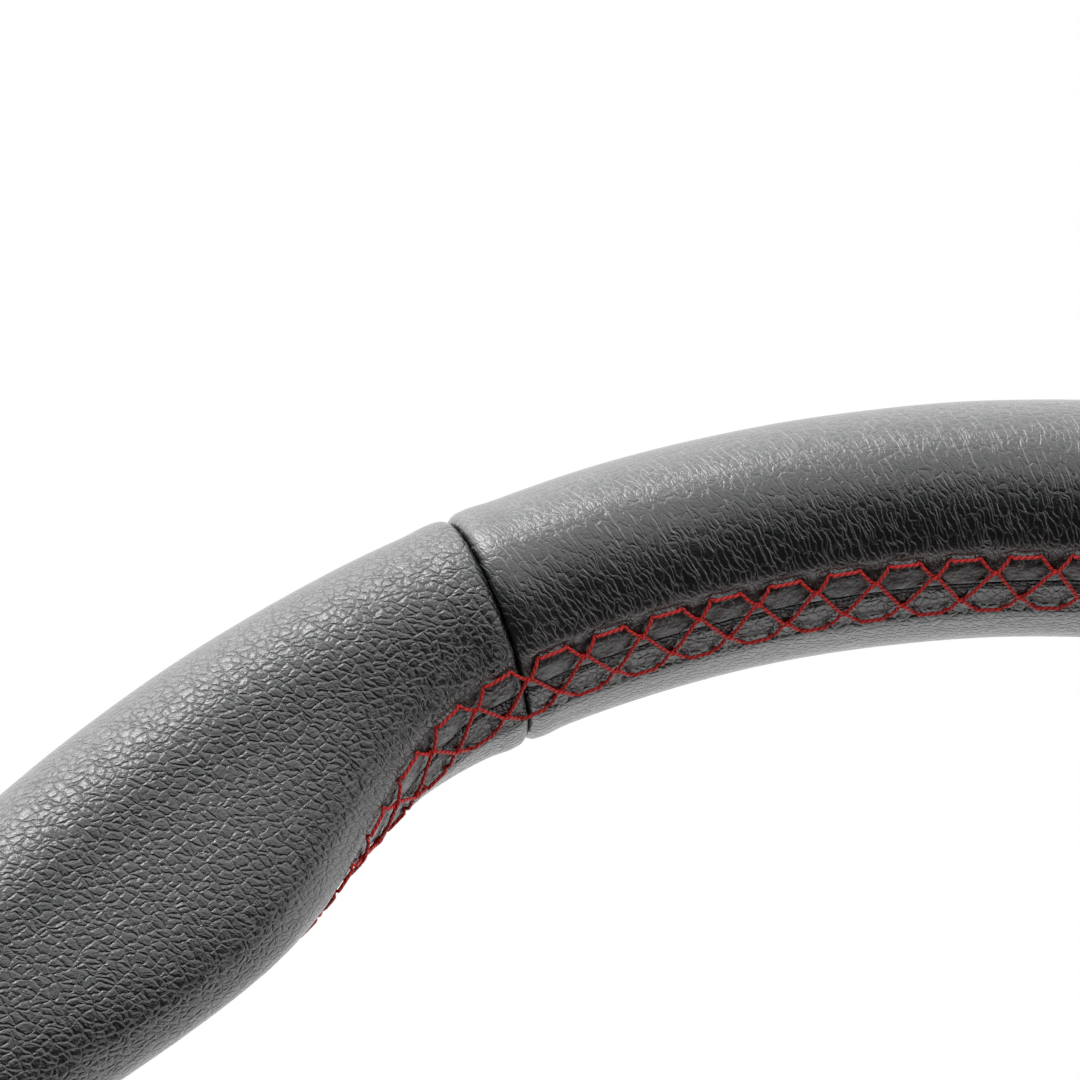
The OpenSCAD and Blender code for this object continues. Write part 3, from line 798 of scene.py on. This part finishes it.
def spring(name, node, mean_radius, wire_radius, seat, tip, turns):
    """A spring from its fixed seat to its moving tip, which are places on Y."""
    around = np.linspace(0, 2 * math.pi * turns, turns * 48 + 1)
    turn = around / (2 * math.pi)
    open_coils = fade(turn, 0.6, 1.3) * (1 - fade(turn, turns - 1.3, turns - 0.6))
    closed_pitch = wire_radius * 2.04
    length = abs(tip - seat) - 2 * wire_radius
    pitch = closed_pitch + open_coils * (length - closed_pitch * turns) / (open_coils.mean() * turns)
    rise = np.concatenate([[0], np.cumsum((pitch[1:] + pitch[:-1]) / 2 * np.diff(turn))])
    toward = 1 if tip > seat else -1
    middle_y = seat + toward * (wire_radius + rise * length / rise[-1])
    middle = np.stack([mean_radius * np.cos(around), middle_y, mean_radius * np.sin(around)], -1)
    out = np.stack([np.cos(around), 0 * around, np.sin(around)], -1)
    run = np.gradient(middle, axis=0)
    run /= np.linalg.norm(run, axis=1, keepdims=True)
    side = np.cross(run, out)
    sides = 12
    angle = np.arange(sides) * 2 * math.pi / sides
    points = middle[:, None] + wire_radius * (
        np.cos(angle)[None, :, None] * out[:, None] + np.sin(angle)[None, :, None] * side[:, None])
    index = np.arange(len(around) * sides).reshape(-1, sides)
    follow = np.roll(index, -1, axis=1)
    faces = np.stack([index[:-1], follow[:-1], follow[1:], index[1:]], -1).reshape(-1, 4).tolist()
    faces += [index[0].tolist(), index[-1, ::-1].tolist()]
    mesh = bpy.data.meshes.new(name)
    mesh.from_pydata(points.reshape(-1, 3).tolist(), [], faces)
    form = bmesh.new()
    form.from_mesh(mesh)
    bmesh.ops.recalc_face_normals(form, faces=form.faces)
    form.to_mesh(mesh)
    form.free()
    mesh.polygons.foreach_set("use_smooth", np.ones(len(mesh.polygons), bool))
    mesh.set_sharp_from_angle(angle=math.radians(50))
    mesh.materials.append(drawn_wire)
    piece = bpy.data.objects.new(name, mesh)
    scene.collection.objects.link(piece)
    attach(piece, "wheel")
    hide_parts(node)
    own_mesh(piece)


spring("collar_coil", "collar_spring", 0.021, 0.0008, -0.033, -0.017, 5)
spring("horn_coil", "horn_spring", 0.0046, 0.0005, -0.046, -0.0587, 6)


# ---------------------------------------------------------------------------------------------
# Lock balls. Six hardened and polished bearing balls, kept in the sleeve's windows by the collar.
# ---------------------------------------------------------------------------------------------

polished, wire, shader = new_finish(
    "polished ball steel", Base_Color=(0.78, 0.79, 0.80, 1), Metallic=1.0)
haze = solid_noise(wire.node("ShaderNodeTexCoord", output="Object"), 500.0, 2.0)
feed(shader, Roughness=haze.between(0.3, 0.7, 0.05, 0.10))
for number in range(1, 7):
    ball_low, ball_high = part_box(f"lock_ball_{number}")
    ball_radius = (ball_high.y - ball_low.y) / 2
    form = bmesh.new()
    bmesh.ops.create_uvsphere(form, u_segments=48, v_segments=24, radius=ball_radius)
    bmesh.ops.translate(form, verts=form.verts, vec=(Vector(ball_low) + Vector(ball_high)) / 2)
    mesh = bpy.data.meshes.new(f"bearing_ball_{number}")
    form.to_mesh(mesh)
    form.free()
    mesh.polygons.foreach_set("use_smooth", np.ones(len(mesh.polygons), bool))
    mesh.materials.append(polished)
    ball = bpy.data.objects.new(f"bearing_ball_{number}", mesh)
    scene.collection.objects.link(ball)
    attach(ball, f"ball_{number}")
    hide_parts(f"lock_ball_{number}")


# ---------------------------------------------------------------------------------------------
# Horn circuit. A moulded insulating disc holds two brass pins that meet the shaft's contacts, and
# two sleeved leads take them up to the brass pads under the button.
# ---------------------------------------------------------------------------------------------

brass = turned_finish("plain brass", (0.72, 0.50, 0.19), 0.28, 1.0, 0.00001)
moulded_insulator = blasted("moulded insulator", (0.50, 0.43, 0.29), 0.5)
eased("contact_disc", "insulating_disc", 0.00020, moulded_insulator)
eased("contact_pins", "brass_pins", 0.00010, brass)
eased("horn_contacts", "contact_pads", 0.00008, brass)
eased("horn_contact_ring", "bridge_ring", 0.00008, brass, "horn")
dress("horn_leads", blasted("lead insulation", (0.02, 0.02, 0.022), 0.45))


# ---------------------------------------------------------------------------------------------
# Horn button, its cup and its ring. The cup and the button are moulded, the button with a crisp
# satin face, and the turned ring clamps them both to the hub.
# ---------------------------------------------------------------------------------------------

cup_plastic = blasted("moulded cup plastic", (0.016, 0.016, 0.018), 0.5)
button_plastic = blasted("satin button plastic", (0.010, 0.010, 0.011), 0.24)
eased("horn_cup", "moulded_cup", 0.00020, cup_plastic)
eased("horn_button", "moulded_button", 0.00050, button_plastic, "horn")
eased("horn_ring", "turned_ring", 0.00030, black_turned)


# ---------------------------------------------------------------------------------------------
# Hub screws. Six M5 button head screws in black oxide, which hold the ring and the spoke plate to
# the flange.
# ---------------------------------------------------------------------------------------------

eased("hub_screws", "wheel_screws", 0.00018, black_oxide)
